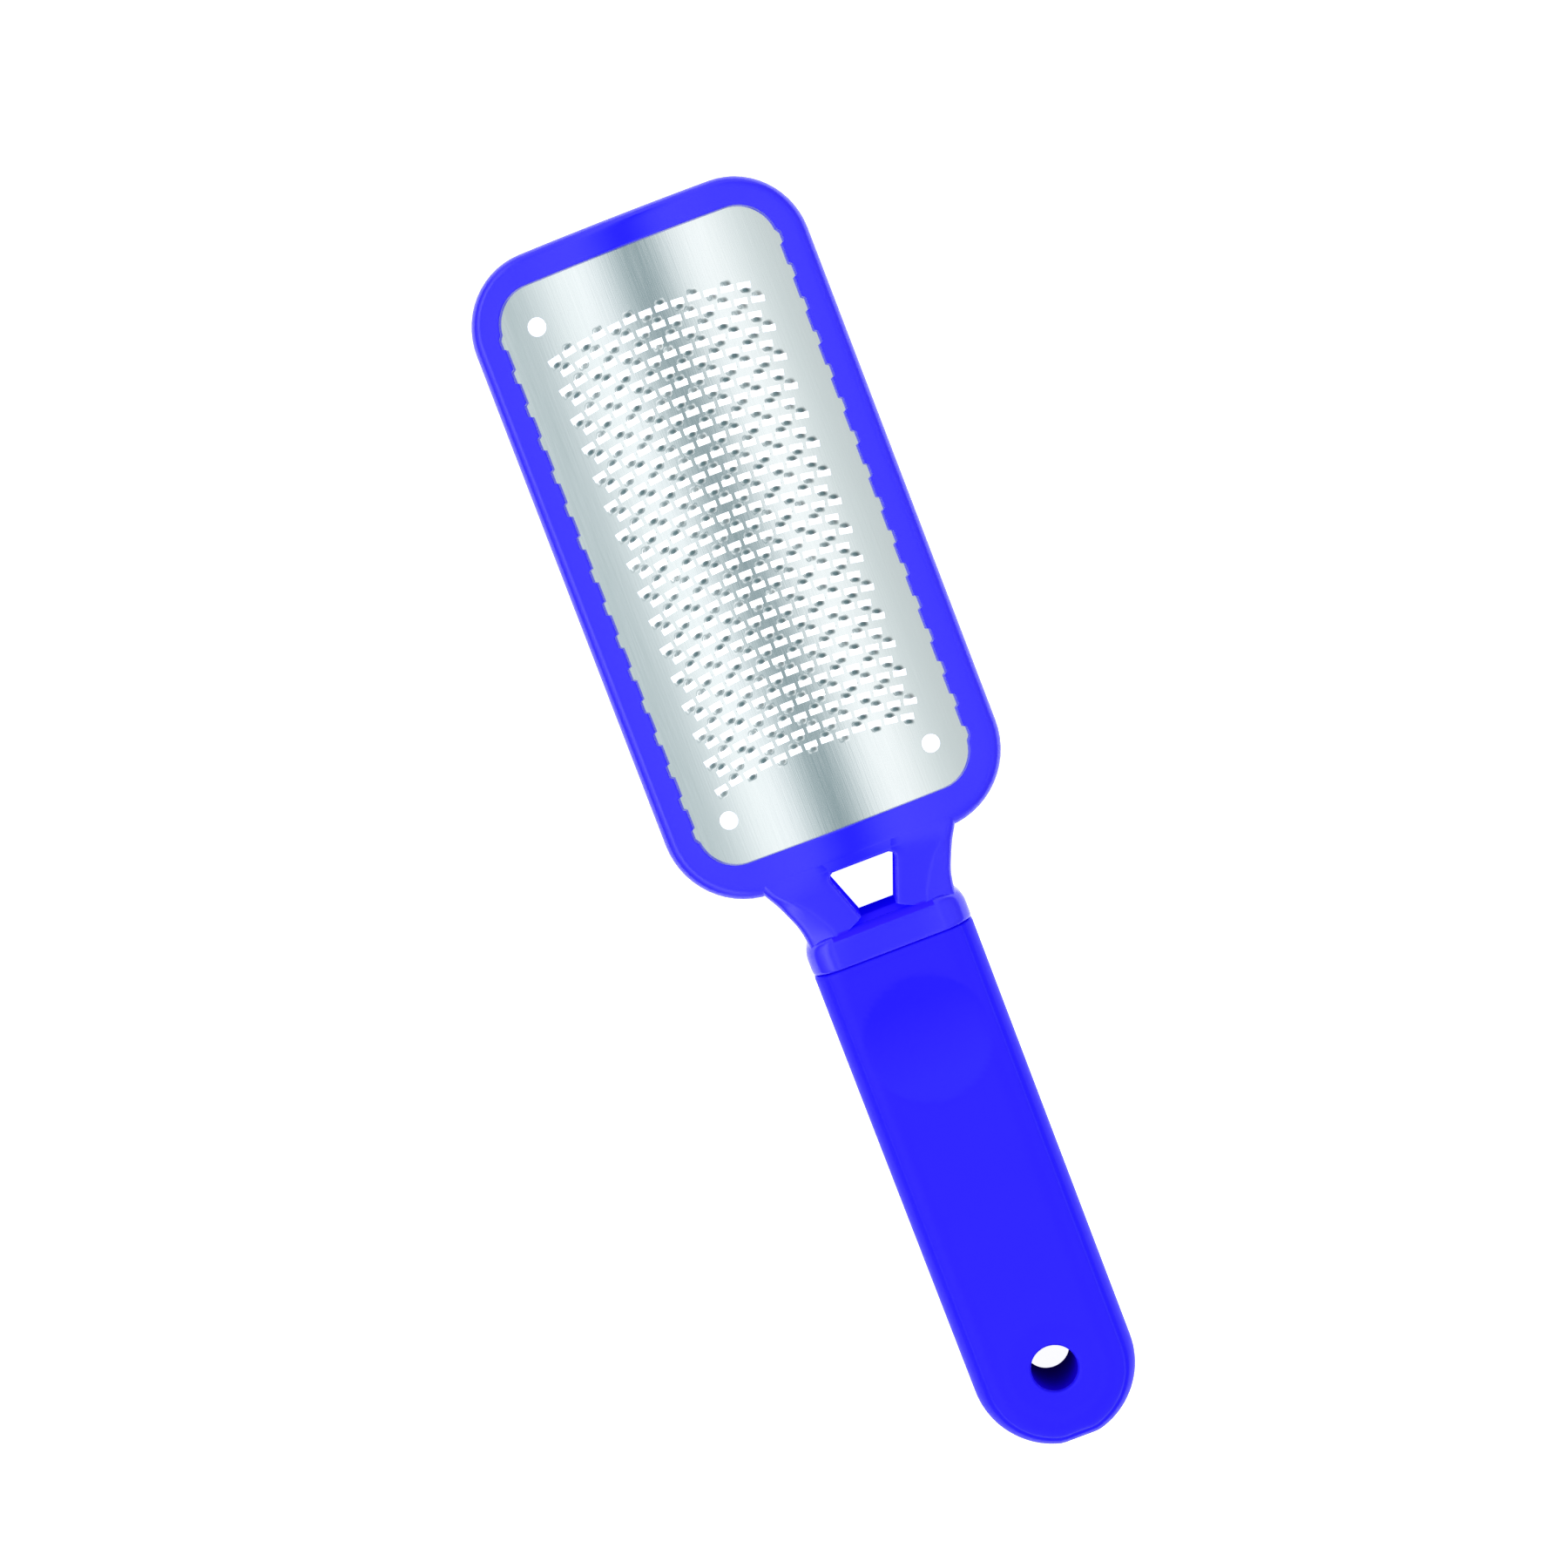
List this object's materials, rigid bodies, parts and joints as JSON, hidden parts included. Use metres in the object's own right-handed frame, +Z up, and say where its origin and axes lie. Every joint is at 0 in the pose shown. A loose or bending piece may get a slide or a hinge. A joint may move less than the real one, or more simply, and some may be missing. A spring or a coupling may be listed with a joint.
{
  "type": "foot file",
  "caption": "Foot rasp: arched steel blade with rows of slots and teeth in a plastic frame, on a soft grip with a thumb dish and a hanging hole.",
  "frame": {"origin": "on the plane that the back of the head and of the grip rest on, under the middle of the whole length and width", "axes": "+Y from the grip to the head, +Z up out of the face that files, +X to the right seen from above with the head away"},
  "size_m": [0.0702, 0.26, 0.015],
  "materials": {
    "steel": "bright rolled stainless steel, brushed lightly along the blade",
    "frame_plastic": "moulded plastic, satin, royal blue",
    "grip_rubber": "soft-touch rubber, matt, royal blue"
  },
  "bodies": {
    "root": {"blade": "steel", "frame": "frame_plastic", "grip": "grip_rubber"}
  },
  "joints": []
}
